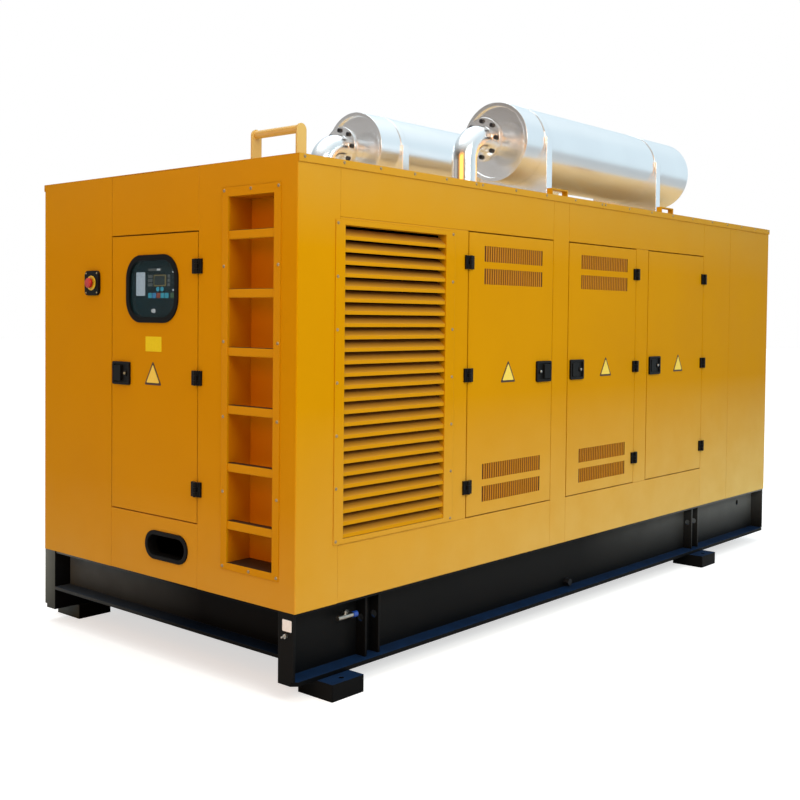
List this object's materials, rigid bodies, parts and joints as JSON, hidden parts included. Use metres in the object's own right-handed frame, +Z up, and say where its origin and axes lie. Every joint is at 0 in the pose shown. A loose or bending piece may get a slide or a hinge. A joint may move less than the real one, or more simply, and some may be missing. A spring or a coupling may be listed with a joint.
{
  "type": "generator set in a sound-proofed canopy",
  "caption": "Long sound-proofed generator set: yellow lined steel canopy with hinged service doors, louvres and a ladder recess, on a black skid base, with silencers on the roof.",
  "frame": {"origin": "on the floor under the middle of the set's overall box", "axes": "+X along the canopy from the control end to the discharge end, +Y from the front side with the opening doors to the far side, +Z up"},
  "size_m": [5.046, 2.19, 3.0138],
  "materials": {
    "yellow_paint": "satin",
    "base_paint": "satin",
    "black_plastic": "matte",
    "black_rubber": "matte",
    "lining_foam": "matte",
    "silencer_sheet": "satin",
    "valve_steel": "satin",
    "lever_blue": "gloss",
    "stop_red": "gloss",
    "window_glass": "gloss",
    "cabinet_paint": "satin",
    "engine_paint": "satin",
    "radiator_paint": "matte"
  },
  "bodies": {
    "canopy": {"base_side_beams": "base_paint", "base_end_beams": "base_paint", "foot_beams": "base_paint", "base_deck": "base_paint", "lifting_plates": "base_paint", "drain_valve": "valve_steel", "drain_valve_lever": "lever_blue", "ladder_column": "yellow_paint", "stop_column": "yellow_paint", "ladder_recess": "yellow_paint", "ladder_rungs": "yellow_paint", "control_end_upper_panel": "yellow_paint", "control_end_lower_panel": "yellow_paint", "cable_outlet_edging": "black_rubber", "control_cabinet": "cabinet_paint", "controller": "black_plastic", "stop_box": "black_plastic", "stop_button": "stop_red", "hinge_leaves": "black_plastic", "far_doors": "yellow_paint", "far_door_fittings": "black_plastic", "side_panels": "yellow_paint", "side_posts": "yellow_paint", "side_louvre_frames": "yellow_paint", "front_louvre_blades": "yellow_paint", "far_louvre_blades": "yellow_paint", "back_columns": "yellow_paint", "back_panels": "yellow_paint", "back_louvre_frame": "yellow_paint", "back_louvre_blades": "yellow_paint", "roof_sheets": "yellow_paint", "grab_handle": "yellow_paint", "roof_loops": "yellow_paint", "silencers": "silencer_sheet", "silencer_saddles": "silencer_sheet", "exhaust_elbows": "silencer_sheet", "engine": "engine_paint", "alternator": "engine_paint", "radiator": "radiator_paint"},
    "side_door_1": {"side_door_1": "yellow_paint", "side_door_1_lining": "lining_foam", "side_door_1_fittings": "black_plastic"},
    "side_door_2": {"side_door_2": "yellow_paint", "side_door_2_lining": "lining_foam", "side_door_2_fittings": "black_plastic"},
    "side_door_3": {"side_door_3": "yellow_paint", "side_door_3_lining": "lining_foam", "side_door_3_fittings": "black_plastic"},
    "control_door": {"control_door": "yellow_paint", "control_door_lining": "lining_foam", "control_door_fittings": "black_plastic", "window_gasket": "black_rubber", "window_pane": "window_glass"}
  },
  "joints": [
    {"name": "side_door_1_hinge", "type": "hinge", "parent": "canopy", "child": "side_door_1", "pos_m": [-1.271, -1.014, 1.4035], "axis": [0, 0, -1], "range_deg": [0, 110]},
    {"name": "side_door_2_hinge", "type": "hinge", "parent": "canopy", "child": "side_door_2", "pos_m": [0.46433, -1.014, 1.4035], "axis": [0, 0, 1], "range_deg": [0, 110]},
    {"name": "side_door_3_hinge", "type": "hinge", "parent": "canopy", "child": "side_door_3", "pos_m": [1.409, -1.014, 1.4035], "axis": [0, 0, 1], "range_deg": [0, 110]},
    {"name": "control_door_hinge", "type": "hinge", "parent": "canopy", "child": "control_door", "pos_m": [-2.495, -0.327, 1.401], "axis": [0, 0, 1], "range_deg": [0, 110]}
  ]
}
